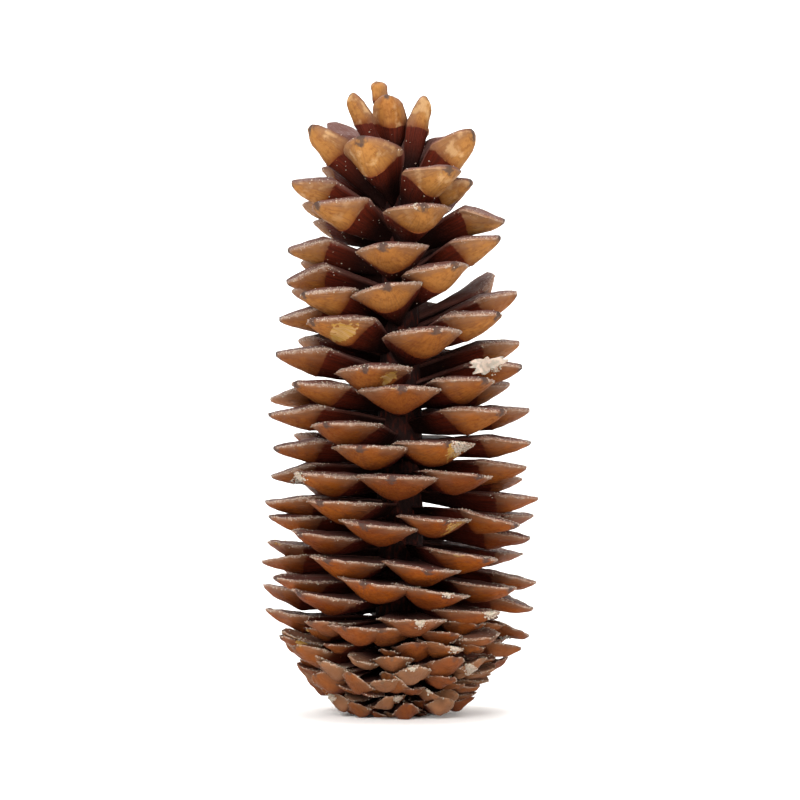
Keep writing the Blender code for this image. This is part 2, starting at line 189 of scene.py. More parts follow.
# How much of that raggedness goes into the ripple of the faces too.
CRUMPLE_SHARE = 0.35

# Small scales that fill the gaps at the foot: how many, the number of the first, their
# highest tip, mm, and their share of the reach and size of the others.
FILLERS = 90
FIRST_FILLER = 1000
FILLERS_TOP = 46.0
FILLERS_REACH = (0.8, 0.99)
FILLERS_SIZE = (0.55, 1.05)


def linear(hex_colour):
    """Linear RGBA of an sRGB hex colour."""
    parts = [int(hex_colour[i:i + 2], 16) / 255 for i in (1, 3, 5)]
    return tuple(c / 12.92 if c < 0.04045 else ((c + 0.055) / 1.055) ** 2.4 for c in parts) + (1.0,)


def colour_property(name, hex_colour, description):
    """An adjustable colour, given as sRGB hex."""
    return bpy.props.FloatVectorProperty(
        name=name, description=description, subtype="COLOR", size=4,
        min=0, max=1, default=linear(hex_colour))


def length_property(name, millimetres, description):
    """An adjustable length in metres, given in millimetres."""
    return bpy.props.FloatProperty(
        name=name, description=description, default=millimetres * MM, min=0, unit="LENGTH",
        precision=5)


class ConeSizes(bpy.types.PropertyGroup):
    """Sizes of the fine shapes."""

    ripple: length_property("Ripple", 0.9, "How far a scale's faces wander from smooth")
    ripple_length: length_property("Ripple length", 9.0, "Size of one wave of the ripple")
    fray: length_property("Fray", 0.35, "How ragged the edges are")
    fray_length: length_property("Fray length", 1.6, "Size of one notch of the edge")
    grain: length_property("Resin grain", 0.27, "Radius of one grain of dried resin")
    lump: length_property("Resin lump", 0.5, "Radius of one lump in a resin crust")
    bead: length_property("Resin bead", 0.3, "Radius of one clear bead on a dark shaft")


class ConeColours(bpy.types.PropertyGroup):
    """Colours of the surfaces."""

    # The ends go from end_low on the lowest rows to end_high and end_tan on the top ones: partly the
    # wood's own paler tan, partly painted light for the top rows, which get more light.
    end_high: colour_property("Scale end, high", "#90612F", "Light tan of the ends high up")
    end_low: colour_property("Scale end, low", "#7A3B06", "Orange-brown of the ends low down")
    # Also laid over every end towards its break line, as painted shade next to the dark gap between
    # the rows.
    end_dark: colour_property("Scale end, dark", "#5A2608", "Deeper brown of some ends")
    end_tan: colour_property("Scale end, tan", "#7F4816", "Redder tan of some ends high up")
    cream: colour_property("Cream flecks", "#D2AE7C", "Fine pale flecks on the crown's ends")
    worn: colour_property("Worn edge", "#A88668", "Greyish tan where an end is worn")
    shaft: colour_property("Shaft", "#4E1809", "Red-brown of the shafts")
    # Near black: dark fibre streaks on the shafts, and painted shade on the shafts towards the axis
    # and over the axis itself, deep in the cone.
    dark_fibre_and_depth_shade: colour_property("Shaft, deep", "#1A0603", "Brown near the axis")
    upper: colour_property("Upper face", "#583A33", "Purple-brown of the upper faces")
    umbo: colour_property("Tip", "#3C312D", "Dark weathered tip")
    dust: colour_property("Dust", "#A08D7E", "Pale film of dried resin")
    grime: colour_property("Grime", "#6B4628", "Dull greyish brown over the lowest scales")
    resin: colour_property("Resin", "#A19583", "Dried resin grains and crusts")
    # A darker copy of the resin colour: painted shade that holds back the strong light on the flake's
    # upright faces.
    flake: colour_property("Resin flake", "#7F7568", "Thin flake of dried resin, greyish cream")
    torn: colour_property("Torn wood", "#96702F", "Yellow fibre where an end is torn")
    # Brings out dark fibre veins on the ends, and is painted shade towards the ends' sides, along
    # their outlines.
    vein_and_edge_shade: colour_property("Stain", "#56301F", "Purple-brown towards the sides of the ends")
    floor: colour_property("Floor", "#F4F3F1", "Pale floor")


def at(table, height):
    """Value of a table at this height, on straight lines between its entries."""
    if height <= table[0][0]:
        return table[0][1]
    for (low, first), (high, second) in zip(table, table[1:]):
        if height <= high:
            return first + (second - first) * (height - low) / (high - low)
    return table[-1][1]


def spiral_heights():
    """Tip heights of all scales, from the top down."""
    heights = []
    height = TOP_MM
    while height > LAST_MM:
        heights.append(height)
        height -= at(SPACING, height)
    return heights


def seen_from_camera(x_px, y_px, nearer):
    """x and z in mm of a place in the picture, if it is this much nearer than the axis."""
    up = (PICTURE_PX / 2 - y_px) * MM_PER_PX
    reach = (CAMERA_AWAY_MM - nearer) / (CAMERA_AWAY_MM - up * CAMERA_RISE_MM / CAMERA_LENGTH_MM)
    aside = (x_px - AXIS_PX) * MM_PER_PX * reach
    high = reach * (CAMERA_RISE_MM + up * CAMERA_AWAY_MM / CAMERA_LENGTH_MM)
    return aside, CAMERA_HIGH_MM + high


def seen_place(x_px, y_px, angle=None):
    """Angle, tip height and reach of a scale from where its tip is in the picture."""
    height, turn = (FLOOR_PX - y_px) * MM_PER_PX, math.radians(angle or 0)
    for _ in range(SETTLING_ROUNDS):
        nearer = at(REACH, height) * math.cos(turn)
        aside, height = seen_from_camera(x_px, y_px, nearer)
        aside -= at(LEAN, height)
        if angle is None:
            turn = math.asin(max(-MOST_ASIDE, min(MOST_ASIDE, aside / at(REACH, height))))
    if angle is None:
        return math.degrees(turn), height, at(REACH, height)
    return angle, height, max(NEAREST_TIP, aside / math.sin(turn))


def place_scales():
    """One (number, angle, height, reach, size, twist) for each scale of the cone."""
    draw = random.Random(SEED)
    seen = {number: seen_place(*place) for number, *place in SEEN}
    placed = []
    for number, height in enumerate(spiral_heights()):
        spread = [draw.uniform(-1, 1) for _ in range(DRAWS)]
        drop = draw.random() < MISSING_CHANCE and FIRST_FALLEN < number < LAST_FALLEN
        size = 1 + SIZE_SPREAD * spread[2]
        if number in seen:
            angle, height, reach = seen[number]
        elif drop or number in MISSING:
            continue
        else:
            angle = FIRST_ANGLE + TURN * number + ANGLE_SPREAD * spread[0]
            height += HEIGHT_SPREAD * spread[1] * min(1, height / LOOSE_ABOVE)
            reach = at(REACH, height) * (1 + REACH_SPREAD * spread[2])
        placed.append((number, angle, height, reach, size, TWIST_SPREAD * spread[3]))
    return placed


def place_fillers():
    """Places of the small scales between the others at the foot, as place_scales gives them."""
    draw = random.Random(SEED + 1)
    placed = []
    for step in range(FILLERS):
        height = FILLERS_TOP * (step + 1) / FILLERS
        reach = at(REACH, height) * draw.uniform(*FILLERS_REACH)
        size = draw.uniform(*FILLERS_SIZE)
        placed.append((FIRST_FILLER + step, TURN * step, height, reach, size, 0.0))
    return placed


def turned(number, height, turn, twist, own):
    """Twist of a scale and slopes of its shaft and end, radians."""
    tilt, uneven = at(TILT, height), max(0.0, 1 - height / UNEVEN_TOP)
    twist += tilt * math.cos(turn) + own.uniform(-UNEVEN_TWIST, UNEVEN_TWIST) * uneven
    shaft = at(SHAFT_SLOPE, height) - tilt / 2 * math.sin(turn)
    end = RISE.get(number, at(END_SLOPE, height) - tilt * math.sin(turn))
    end += own.uniform(-UNEVEN_SLOPE, UNEVEN_SLOPE) * uneven
    return math.radians(twist), math.radians(shaft), math.radians(end)


def break_and_root(height, reach, length, shaft, end):
    """How far out and up the break line is, and how far up the root is, mm."""
    length = min(length, LONGEST_END * reach / max(LEVEL_SHARE, math.cos(end)))
    out = max(reach - length * math.cos(end), ROOT_RADIUS + SHORTEST_SHAFT)
    up = height - length * math.sin(end)
    root_up = up - (out - ROOT_RADIUS) * math.tan(shaft)
    return out, up, max(root_up, up - DEEPEST_ROOT, LOWEST_ROOT)


def spot(away, out, up):
    """A place in metres, this far out and up."""
    return (away * out + Vector((at(LEAN, up), 0, up))) * MM


def above(away, slope):
    """The direction square to a slope that rises outwards."""
    return Vector((0, 0, math.cos(slope))) - away * math.sin(slope)


def lay_out(place):
    """Where one scale runs and how big it is, in metres: the values that it is bent by."""
    number, angle, height, reach, size, twist = place
    own = random.Random(number * SEED_STEP + SEED)
    reach *= 1 - UNEVEN_REACH * own.random() * max(0.0, 1 - height / UNEVEN_TOP)
    turn = math.radians(angle)
    away = Vector((math.sin(turn), -math.cos(turn), 0))
    aside = Vector((math.cos(turn), math.sin(turn), 0))
    twist, shaft, end = turned(number, height, turn, twist, own)
    width, keel, arch, length = (at(table, height) * size for table in (WIDTH, KEEL, ARCH, END))
    skew = own.uniform(-SKEW_SPREAD, SKEW_SPREAD) * width / SKEWED_WIDTH
    break_out, break_up, root_up = break_and_root(height, reach, length, shaft, end)
    return {
        "root": spot(away, ROOT_RADIUS, root_up),
        "brk": spot(away, break_out, break_up) + aside * skew * MM,
        "tip": spot(away, reach, height),
        "aside": aside * math.cos(twist) - above(away, end) * math.sin(twist),
        "above_shaft": above(away, shaft) * math.cos(twist / 2) + aside * math.sin(twist / 2),
        "above_end": above(away, end) * math.cos(twist) + aside * math.sin(twist),
        "half": width / 2 * MM,
        "keel": keel * MM,
        "arch": (arch + own.uniform(-ARCH_SPREAD, ARCH_SPREAD)) * MM,
        "blunt": at(BLUNT, height),
        "level": height / TOP_MM,
    }


def add(tree, kind, inputs=(), take=0, **settings):
    """Adds a node with its settings, input values and links, and returns one output."""
    node = tree.nodes.new(kind)
    for name, value in settings.items():
        setattr(node, name, value)
    for key, value in inputs.items() if isinstance(inputs, dict) else enumerate(inputs):
        if isinstance(value, bpy.types.NodeSocket):
            tree.links.new(value, node.inputs[key])
        else:
            node.inputs[key].default_value = value
    return node.outputs[take]


def new_object(name, data):
    """An object in the scene for this mesh, light or camera."""
    made = bpy.data.objects.new(name, data)
    bpy.context.scene.collection.objects.link(made)
    return made


def finish_piece(piece):
    """Ties a finished piece to the cone."""
    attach(piece, BODY)
    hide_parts(NODE)


def wall(shape, rings):
    """Adds faces between closed rings of points."""
    for first, second in zip(rings, rings[1:]):
        for step in range(len(first)):
            after = (step + 1) % len(first)
            shape.faces.new((first[step], first[after], second[after], second[step]))


def mesh_of(name, shape):
    """The mesh of a finished shape."""
    mesh = bpy.data.meshes.new(name)
    shape.to_mesh(mesh)
    shape.free()
    return mesh


def coated(mesh, material):
    """The mesh, shaded smooth and with its material."""
    mesh.shade_smooth()
    mesh.materials.append(material)
    return mesh


def apply_tree(carrier, tree, values):
    """Sets a tree's named inputs on the object, and returns the result as a plain mesh."""
    modifier = carrier.modifiers.new(tree.name, "NODES")
    modifier.node_group = tree
    for item in tree.interface.items_tree:
        if item.in_out == "INPUT" and item.name in values:
            modifier[item.identifier] = values[item.name]
    graph = bpy.context.evaluated_depsgraph_get()
    mesh = bpy.data.meshes.new_from_object(carrier.evaluated_get(graph), depsgraph=graph)
    carrier.modifiers.remove(modifier)
    return mesh


def new_tree(name, inputs):
    """A geometry tree with a geometry input, these named inputs and a geometry output."""
    tree = bpy.data.node_groups.new(name, "GeometryNodeTree")
    tree.interface.new_socket("Geometry", in_out="INPUT", socket_type="NodeSocketGeometry")
    for label, kind in inputs:
        tree.interface.new_socket(label, in_out="INPUT", socket_type="NodeSocket" + kind)
    tree.interface.new_socket("Geometry", in_out="OUTPUT", socket_type="NodeSocketGeometry")
    return tree, tree.nodes.new("NodeGroupInput"), tree.nodes.new("NodeGroupOutput")


# The blank scale

# Stations along a scale: 0 is the root, 0.5 the break line and 1 the tip. Then the half
# width and the keel depth there, as shares of those at the break line.
STATIONS = (
    (0.00, 0.17, 0.34), (0.08, 0.26, 0.46), (0.16, 0.38, 0.58), (0.25, 0.54, 0.72),
    (0.34, 0.72, 0.84), (0.42, 0.86, 0.93), (0.47, 0.94, 0.985), (0.494, 0.975, 1.0),
    (0.506, 0.985, 0.99), (0.54, 1.0, 0.95), (0.58, 0.99, 0.90), (0.63, 0.95, 0.83),
    (0.69, 0.885, 0.74), (0.75, 0.80, 0.64), (0.81, 0.695, 0.53), (0.86, 0.59, 0.435),
    (0.90, 0.49, 0.34), (0.935, 0.40, 0.26), (0.962, 0.325, 0.19), (0.983, 0.25, 0.12),
    (1.0, 0.14, 0.05),
)
BREAK = 0.5
ABOVE_STEPS = 14
BELOW_STEPS = 22
# Under 1, it sets the points of a section closer together at its edges.
CROWDING_POWER = 0.85
ARCH_POWER = 1.7
LEAST_ARCH = 0.3
KEEL_POWER = 1.5
RIM_SHARE = 0.045
# How far the break line swings back at the edges and out at the keel, and how far along the
# scale that reaches.
SET_BACK = 0.02
SET_OUT = 0.03
SET_REACH = 0.22
# How late along the end its bluntness begins, and how late its tip then rounds off.
BLUNT_POWER = 3.0
ROUND_POWER = 8.0
ROUND_FROM = 1.25


def station(along):
    """Half width and keel depth at a place along the scale."""
    for (low, w0, k0), (high, w1, k1) in zip(STATIONS, STATIONS[1:]):
        if along <= high:
            part = (along - low) / (high - low)
            return w0 + (w1 - w0) * part, k0 + (k1 - k0) * part
    return STATIONS[-1][1:]


def section(along):
    """Points round a scale at a station: share across, height, arch and 1 on the upper side."""
    half, keel = station(along)
    points = []
    for step in range(ABOVE_STEPS):
        share = 1 - 2 * step / ABOVE_STEPS
        across = math.copysign(abs(share) ** CROWDING_POWER, share)
        arch = min(1.0, LEAST_ARCH + (1 - LEAST_ARCH) * keel) * (1 - abs(across) ** ARCH_POWER)
        points.append((across, RIM_SHARE, arch, 1.0))
    for step in range(BELOW_STEPS):
        share = 2 * step / BELOW_STEPS - 1
        across = math.copysign(abs(share) ** CROWDING_POWER, share)
        depth = keel * (1 - across * across) ** KEEL_POWER
        points.append((across, -depth - RIM_SHARE, 0.0, 0.0))
    return half, points


def blank_scale():
    """One scale, straight and unit-sized: x across, y along, z up. It is bent into each
    place of the cone, which mirrors it, so its faces point in."""
    shape = bmesh.new()
    unit = shape.verts.layers.float_vector.new("unit")
    layers = [shape.verts.layers.float.new(n) for n in ("across", "along", "arched", "upper")]
    rings = []
    for along, _, _ in STATIONS:
        near = max(0.0, 1 - abs(along - BREAK) / SET_REACH)
        half, points = section(along)
        rings.append([])
        for across, height, arch, side in points:
            shift = SET_OUT * (1 - abs(across)) * (1 - side) - SET_BACK * across * across
            point = shape.verts.new((across * half, along + shift * near, height))
            point[unit] = point.co
            for layer, value in zip(layers, (across, along, arch, side)):
                point[layer] = value
            rings[-1].append(point)
    wall(shape, rings)
    shape.faces.new(rings[0])
    shape.faces.new(rings[-1])
    bmesh.ops.recalc_face_normals(shape, faces=shape.faces)
    bmesh.ops.reverse_faces(shape, faces=shape.faces)
    bmesh.ops.triangulate(shape, faces=[f for f in shape.faces if len(f.verts) > 4])
    return new_object("blank_scale", mesh_of("blank_scale", shape))


# The tree that sets scales

MATH = "ShaderNodeMath"
VECTOR = "ShaderNodeVectorMath"
RANGE = "ShaderNodeMapRange"
NOISE = "ShaderNodeTexNoise"
MIX = "ShaderNodeMix"
NAMED = "GeometryNodeInputNamedAttribute"
MOVE = "GeometryNodeSetPosition"
PLACES = ("root", "brk", "tip", "aside", "above_shaft", "above_end")
SIZES = ("half", "keel", "arch", "blunt", "tone", "level")
# Where along a scale its upward direction turns from the shaft's to the end's.
BEND_FROM = 0.40
BEND_TO = 0.60
# How far a point goes along the shaft, along the end, sideways and up: each row is a name,
# an operation and the names or numbers that it takes.
BENDING = (
    ("doubled", "MULTIPLY", "along", 1 / BREAK), ("on_shaft", "MINIMUM", "doubled", 1.0),
    ("past", "SUBTRACT", "doubled", 1.0), ("on_end", "MAXIMUM", "past", 0.0),
    ("to_tip", "POWER", "on_end", BLUNT_POWER), ("to_round", "POWER", "on_end", ROUND_POWER),
    ("held", "SUBTRACT", ROUND_FROM, "to_round"), ("swell", "MULTIPLY", "to_tip", "held"),
    ("broader", "MULTIPLY_ADD", "swell", "blunt", 1.0), ("wide", "MULTIPLY", "across", "half"),
    ("outward", "MULTIPLY", "wide", "broader"), ("thick", "MULTIPLY", "height", "keel"),
    ("lift", "MULTIPLY", "thick", "broader"), ("raised", "MULTIPLY_ADD", "arched", "arch", "lift"))
# The higher, the closer the notches keep to the edges.
EDGE_POWER = 6.0
WAVE_DETAIL = 2.0
WAVE_SEED = 3.0
FLOOR_GAP = 0.0001


def bent_position(tree):
    """Where a point of the blank goes: along the shaft, then along the end, at its share
    of the width and height."""
    unit = add(tree, NAMED, {"Name": "unit"}, data_type="FLOAT_VECTOR")
    split = tree.nodes.new("ShaderNodeSeparateXYZ")
    tree.links.new(unit, split.inputs[0])
    found = dict(zip(("across", "along", "height"), split.outputs))
    for name in ("half", "keel", "arch", "arched", "blunt"):
        found[name] = add(tree, NAMED, {"Name": name})
    for name, operation, *inputs in BENDING:
        inputs = [found.get(one, one) for one in inputs]
        found[name] = add(tree, MATH, inputs, operation=operation)
    root, brk, tip, aside, shaft_up, end_up = (
        add(tree, NAMED, {"Name": name}, data_type="FLOAT_VECTOR") for name in PLACES)
    shaft = add(tree, VECTOR, (brk, root), operation="SUBTRACT")
    end = add(tree, VECTOR, (tip, brk), operation="SUBTRACT")
    bend = add(tree, RANGE, (found["along"], BEND_FROM, BEND_TO), interpolation_type="SMOOTHSTEP")
    change = add(tree, VECTOR, (end_up, shaft_up), operation="SUBTRACT")
    change = add(tree, VECTOR, {0: change, "Scale": bend}, operation="SCALE")
    leaning = add(tree, VECTOR, (shaft_up, change))
    upward = add(tree, VECTOR, [leaning], operation="NORMALIZE")
    place = root
    for direction, length in ((shaft, "on_shaft"), (end, "on_end"), (aside, "outward"),
                              (upward, "raised")):
        step = add(tree, VECTOR, {0: direction, "Scale": found[length]}, operation="SCALE")
        place = add(tree, VECTOR, (place, step))
    return place


def scale_tree():
    """Puts the blank on each place, bends it there and roughens it."""
    tree, given, out = new_tree("set_scales", (
        ("Blank", "Object"), ("Ripple", "Float"), ("Ripple length", "Float"), ("Fray", "Float"),
        ("Fray length", "Float"), ("Seed", "Float"), ("Material", "Material")))
    g = given.outputs
    blank = add(tree, "GeometryNodeObjectInfo", {"Object": g["Blank"]}, "Geometry")
    points = add(tree, "GeometryNodeMeshToPoints", {"Mesh": g["Geometry"]})
    copies = add(tree, "GeometryNodeInstanceOnPoints", {"Points": points, "Instance": blank})
    real = add(tree, "GeometryNodeRealizeInstances", [copies])
    shaped = add(tree, MOVE, {"Geometry": real, "Position": bent_position(tree)})

    # Waves over the faces, then notches along the edges alone.
    across = add(tree, NAMED, {"Name": "across"})
    from_middle = add(tree, MATH, [across], operation="ABSOLUTE")
    edge = add(tree, MATH, (from_middle, EDGE_POWER), operation="POWER")
    for length, reach, where in ((g["Ripple length"], g["Ripple"], 1.0),
                                 (g["Fray length"], g["Fray"], edge)):
        waves = add(tree, MATH, (1.0, length), operation="DIVIDE")
        noise = add(tree, NOISE, {"W": g["Seed"], "Scale": waves, "Detail": WAVE_DETAIL}, "Color",
                    noise_dimensions="4D")
        centred = add(tree, VECTOR, (noise, (0.5, 0.5, 0.5)), operation="SUBTRACT")
        doubled = add(tree, MATH, (reach, 2.0), operation="MULTIPLY")
        share = add(tree, MATH, (doubled, where), operation="MULTIPLY")
        offset = add(tree, VECTOR, {0: centred, "Scale": share}, operation="SCALE")
        shaped = add(tree, MOVE, {"Geometry": shaped, "Offset": offset})

    # What would go below the floor lies flat on it.
    here = add(tree, "GeometryNodeInputPosition")
    settled = add(tree, VECTOR, (here, (-1.0, -1.0, FLOOR_GAP)), operation="MAXIMUM")
    shaped = add(tree, MOVE, {"Geometry": shaped, "Position": settled})
    for name in PLACES + ("unit", "half", "keel", "arch", "arched", "blunt"):
        shaped = add(tree, "GeometryNodeRemoveAttribute", {"Geometry": shaped, "Name": name})
    done = add(tree, "GeometryNodeSetMaterial", {"Geometry": shaped, "Material": g["Material"]})
    tree.links.new(done, out.inputs[0])
    return tree


def places_mesh(layouts):
    """One point for each scale, at its tip, with its layout as attributes."""
    mesh = bpy.data.meshes.new("scale_places")
    mesh.from_pydata([tuple(one["tip"]) for one in layouts], [], [])
    for name in PLACES:
        layer = mesh.attributes.new(name, "FLOAT_VECTOR", "POINT")
        layer.data.foreach_set("vector", [v for one in layouts for v in one[name]])
    for name in SIZES:
        layer = mesh.attributes.new(name, "FLOAT", "POINT")
        layer.data.foreach_set("value", [one[name] for one in layouts])
    return mesh


# Materials

# Sockets of a node that mixes two colours, and its output.
SHARE = 0
UNDER = 6
OVER = 7
MIXED = 2

# The wood of the scales. Noises: name, size of one patch, mm, and detail.
WOOD_NOISES = (("patch", 7.0, 4.0), ("mottle", 2.2, 5.0), ("speck", 0.7, 3.0))
# How many fibres lie across a scale and along it, and how much they differ between scales.
FIBRES = (22.0, 3.0, 90.0)
FIBRE_DETAIL = 5.0
# How far an end's dark tip bends back along its edges.
TIP_BEND = -0.05
# Values with a noise on them, for the masks: name, value, noise and its share.
WOOD_SUMS = (
    ("shade", "tone", "patch", 1.3), ("outward", "along", "mottle", 0.05),
    ("tipward", "to_tip", "mottle", 0.13), ("tearing", "torn", "mottle", 2.2),
    ("crusting", "crusted", "mottle", 1.2), ("edgeward", "from_middle", "mottle", 0.5),
    ("sideward", "from_middle", "patch", 1.4), ("rise", "level", "patch", 0.25))
# Masks: name, the value that it follows, where it is 0 and where full, and how much that is
# if it isn't 1.
WOOD_MASKS = (
    # The second mask on the next line lightens the ends towards the top rows: partly their own paler
    # tan, partly painted light.
    ("deeper", "shade", 0.2, 1.2), ("higher", "rise", 0.2, 0.9), ("crown", "rise", 0.72, 0.95),
    # The second mask on the next line darkens each end towards its break line: painted shade next to
    # the gap between the rows.
    ("on_end", "outward", 0.488, 0.510), ("break_shade", "outward", 0.7, 0.5, 0.85),
    ("at_tip", "tipward", 0.935, 0.985, 0.85), ("is_torn", "tearing", 0.45, 0.6),
    # The second mask on the next line darkens the ends towards their sides: painted shade along their
    # outlines.
    ("is_crusted", "crusting", 0.3, 0.5), ("edge_shade", "sideward", 0.35, 0.95, 0.55),
    ("edge", "edgeward", 0.45, 0.95), ("worn", "edgeward", 0.55, 1.0, 0.2),
    # The second mask on the next line darkens the shafts towards the axis: painted shade deep in the
    # cone.
    ("edge_rim", "edgeward", 0.88, 1.1, 0.65), ("depth_shade", "along", 0.46, 0.2),
    ("past_shaft", "along", 0.36, 0.6), ("streak", "fibre", 0.38, 0.68, 0.55),
    ("vein", "fibre", 0.5, 0.66, 0.3), ("mottled", "mottle", 0.45, 0.7, 0.38),
    ("specks", "speck", 0.45, 0.62, 0.9), ("pale_patch", "patch", 0.5, 0.66, 0.35),
    ("low_rows", "level", 0.2, 0.08), ("grimy_rows", "level", 0.2, 0.08, 0.4),
    ("dusty_rows", "level", 0.92, 0.66), ("pale_scale", "tone", 0.6, 0.85, 0.2),
    ("dark_scale", "tone", 0.4, 0.1, 0.45))
# Masks that are products of others: name, and the others.
WOOD_PRODUCTS = (
    ("creamy", "pale_patch", "crown"), ("film", "edge", "specks", "dusty_rows", "past_shaft"),
    ("rim", "edge_rim", "dusty_rows", "past_shaft"), ("grimy", "grimy_rows", "past_shaft"),
    ("ashen", "pale_scale", "low_rows", "past_shaft"),
    ("gloomy", "dark_scale", "low_rows", "past_shaft"))
# Coats: name, first colour or coat, then each mask and what it lays over that.
WOOD_COATS = (
    ("light_end", "end_low", (
        ("higher", "end_high"), ("mottled", "shaft"), ("break_shade", "end_dark"),
        ("vein", "vein_and_edge_shade"), ("edge_shade", "vein_and_edge_shade"), ("worn", "worn"), ("creamy", "cream"))),
    ("deep_end", "end_dark", (
        ("higher", "end_tan"), ("mottled", "shaft"), ("break_shade", "end_dark"),
        ("edge_shade", "vein_and_edge_shade"), ("worn", "worn"), ("creamy", "cream"))),
    ("whole_end", "light_end", (("deeper", "deep_end"),)),
    ("whole_shaft", "shaft", (("depth_shade", "dark_fibre_and_depth_shade"), ("streak", "dark_fibre_and_depth_shade"))),
    ("whole_upper", "upper", (("streak", "shaft"), ("film", "dust"))),
    ("torn_fibre", "torn", (("streak", "worn"),)),
    ("dusty_tip", "umbo", (("film", "dust"),)),
    ("scale", "whole_shaft", (
        ("on_end", "whole_end"), ("upper", "whole_upper"), ("at_tip", "dusty_tip"),
        ("grimy", "grime"), ("ashen", "worn"), ("gloomy", "shaft"), ("rim", "dust"),
        ("is_torn", "torn_fibre"), ("is_crusted", "resin"))))
# Relief: what it follows, its strength and its height, mm.
WOOD_RELIEF = (("fibre", 0.5, 0.8), ("mottle", 0.4, 0.5), ("speck", 0.4, 0.15))
# Noises of the resin and the axis: size of one patch, mm, detail, and where its second
# colour begins and is full.
RESIN_PATCH = (2.5, 4.0, 0.4, 0.6)
AXIS_FIBRE = (2.0, 6.0, 0.45, 0.8)
AXIS_FIBRE_SCALE = (1.0, 1.0, 0.35)
AXIS_RELIEF = 1.0 * MM


def new_material(name, settings):
    """A material with its tree and its shader, which has these settings."""
    made = bpy.data.materials.new(name)
    made.use_nodes = True
    shader = made.node_tree.nodes["Principled BSDF"]
    for socket, value in settings.items():
        shader.inputs[socket].default_value = value
    return made, made.node_tree, shader


def own_names(group):
    """Names of a group's own properties."""
    return [name for name in group.bl_rna.properties.keys() if name not in ("rna_type", "name")]


def wood_values(tree):
    """All that varies over a scale's surface, by name: attributes, noises and masks."""
    found = {name: add(tree, "ShaderNodeAttribute", take="Fac", attribute_name=name)
             for name in ("along", "across", "upper", "tone", "level", "torn", "crusted")}
    where = add(tree, "ShaderNodeTexCoord", take="Object")
    for name, size, detail in WOOD_NOISES:
        found[name] = add(tree, NOISE, {
            "Vector": where, "Scale": 1 / (size * MM), "Detail": detail}, "Fac")
    lengthwise = add(tree, "ShaderNodeCombineXYZ", (
        found["across"], found["along"], found["tone"]))
    streaked = add(tree, "ShaderNodeMapping", {"Vector": lengthwise, "Scale": FIBRES})
    found["fibre"] = add(tree, NOISE, {
        "Vector": streaked, "Scale": 1.0, "Detail": FIBRE_DETAIL}, "Fac")
    found["from_middle"] = add(tree, MATH, [found["across"]], operation="ABSOLUTE")
    found["to_tip"] = add(tree, MATH, (found["from_middle"], TIP_BEND, found["along"]),
                          operation="MULTIPLY_ADD")
    for name, value, noise, share in WOOD_SUMS:
        centred = add(tree, MATH, (found[noise], 0.5), operation="SUBTRACT")
        found[name] = add(tree, MATH, (centred, share, found[value]), operation="MULTIPLY_ADD")
    for name, value, none, full, *most in WOOD_MASKS:
        found[name] = add(tree, RANGE, (found[value], none, full, 0.0, *most),
                          interpolation_type="SMOOTHSTEP")
    for name, first, *others in WOOD_PRODUCTS:
        found[name] = found[first]
        for other in others:
            found[name] = add(tree, MATH, (found[name], found[other]), operation="MULTIPLY")
    return found


def cone_wood(colours):
    """Dry cone scale, grown and weathered. The ends that lay outside in the closed cone are
    tanned orange-brown and dull. The shafts stay dark red-brown. The upper faces are
    purple-brown under a pale film of dried resin, and the tips are weathered grey. Light and
    shade are painted in as well: painted shade darkens the shafts towards the axis and the
    ends towards their break lines and sides, and the ends lighten towards the top rows, partly
    their own paler tan and partly painted light."""
    made, tree, shader = new_material("cone_scale_wood_weathered", {"Specular IOR Level": 0.12})
    found = wood_values(tree)
    coats = {name: tuple(getattr(colours, name)) for name in own_names(colours)}
    for name, first, layers in WOOD_COATS:
        coats[name] = coats[first]
        for mask, over in layers:
            coats[name] = add(tree, MIX, {
                SHARE: found[mask], UNDER: coats[name], OVER: coats[over]}, MIXED,
                data_type="RGBA")
    tree.links.new(coats["scale"], shader.inputs["Base Color"])

    dull = add(tree, RANGE, {"Value": found["mottle"], "From Min": 0.3, "From Max": 0.7,
                             "To Min": 0.5, "To Max": 0.8})
    tree.links.new(dull, shader.inputs["Roughness"])
    below = {}
    for height, strength, reach in WOOD_RELIEF:
        bumped = add(tree, "ShaderNodeBump", {
            "Strength": strength, "Distance": reach * MM, "Height": found[height], **below})
        below = {"Normal": bumped}
    tree.links.new(bumped, shader.inputs["Normal"])
    return made


def two_shades(tree, shader, where, noise, first, second):
    """Colours a shader in two mingled shades, and returns the noise that they follow."""
    size, detail, none, full = noise
    patch = add(tree, NOISE, {"Vector": where, "Scale": 1 / (size * MM), "Detail": detail}, "Fac")
    share = add(tree, RANGE, (patch, none, full), interpolation_type="SMOOTHSTEP")
    body = add(tree, MIX, {SHARE: share, UNDER: tuple(first), OVER: tuple(second)}, MIXED,
               data_type="RGBA")
    tree.links.new(body, shader.inputs["Base Color"])
    return patch


def dried_resin(name, pale, dull):
    """Dried pine resin: brittle, whitish and slightly see-through, in two mingled shades."""
    made, tree, shader = new_material(name, {
        "Roughness": 0.4, "Subsurface Weight": 0.1, "Subsurface Scale": 1.0 * MM})
    where = add(tree, "ShaderNodeTexCoord", take="Object")
    two_shades(tree, shader, where, RESIN_PATCH, pale, dull)
    return made


